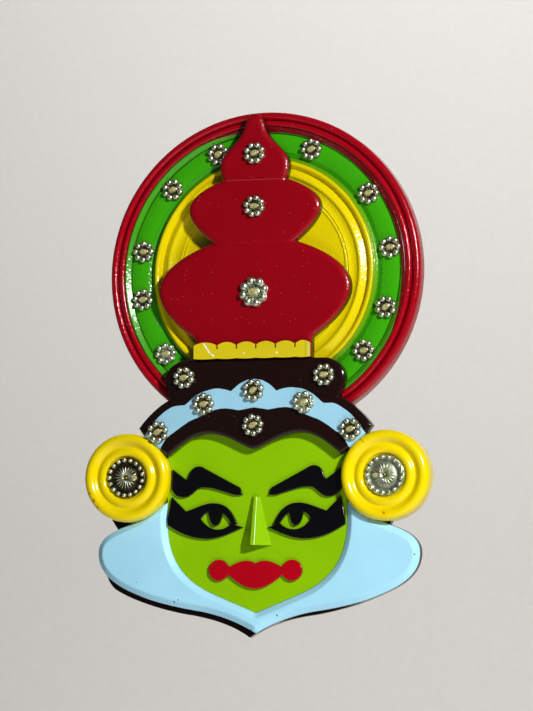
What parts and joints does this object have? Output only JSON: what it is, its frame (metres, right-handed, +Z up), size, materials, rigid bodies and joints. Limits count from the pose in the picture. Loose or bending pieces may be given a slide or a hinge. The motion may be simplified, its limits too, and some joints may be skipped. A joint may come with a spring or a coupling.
{
  "type": "kathakali wall mask",
  "caption": "Painted wooden wall plaque of a Kathakali dancer's green face with a tiered crown, a turned round halo, disc ears and a wide pale collar.",
  "frame": {"origin": "on the flat back that rests on the wall, on the face's middle line, at the height of the halo disc's centre", "axes": "+Z up, +Y out of the back into the wall, so the face looks along -Y; +X is to the right seen from the front"},
  "size_m": [0.3078, 0.0329, 0.454],
  "materials": {
    "dark_brown_enamel": "gloss enamel over wood",
    "green_enamel": "gloss enamel over wood, red rim and yellow middle",
    "crimson_enamel": "gloss enamel over wood",
    "ochre_enamel": "thin enamel over wood",
    "lime_enamel": "gloss enamel over wood",
    "light_blue_enamel": "gloss enamel over wood",
    "black_enamel": "gloss enamel over wood",
    "lip_red_enamel": "gloss enamel over wood",
    "yellow_enamel": "gloss enamel over wood",
    "silvered_stone": "mirror-backed moulded stone"
  },
  "bodies": {
    "root": {"base_board": "dark_brown_enamel", "halo_disc": "green_enamel", "crown_plate": "crimson_enamel", "bead_band": "ochre_enamel", "headband_plate": "dark_brown_enamel", "face_plate": "lime_enamel", "collar": "light_blue_enamel", "eyebrow_left": "black_enamel", "eyebrow_right": "black_enamel", "eye_left": "black_enamel", "eye_right": "black_enamel", "nose": "lime_enamel", "lips": "lip_red_enamel", "ear_disc_left": "yellow_enamel", "ear_disc_right": "yellow_enamel", "ear_medallion_left": "silvered_stone", "ear_medallion_right": "silvered_stone", "halo_brooch_01": "silvered_stone", "halo_brooch_02": "silvered_stone", "halo_brooch_03": "silvered_stone", "halo_brooch_04": "silvered_stone", "halo_brooch_05": "silvered_stone", "halo_brooch_06": "silvered_stone", "halo_brooch_07": "silvered_stone", "halo_brooch_08": "silvered_stone", "halo_brooch_09": "silvered_stone", "halo_brooch_10": "silvered_stone", "crown_brooch_top": "silvered_stone", "crown_brooch_middle": "silvered_stone", "crown_brooch_bottom": "silvered_stone", "headband_brooch_1": "silvered_stone", "headband_brooch_2": "silvered_stone", "headband_brooch_3": "silvered_stone", "headband_brooch_4": "silvered_stone", "headband_brooch_5": "silvered_stone", "headband_brooch_6": "silvered_stone", "headband_brooch_7": "silvered_stone", "headband_brooch_8": "silvered_stone"}
  },
  "joints": []
}
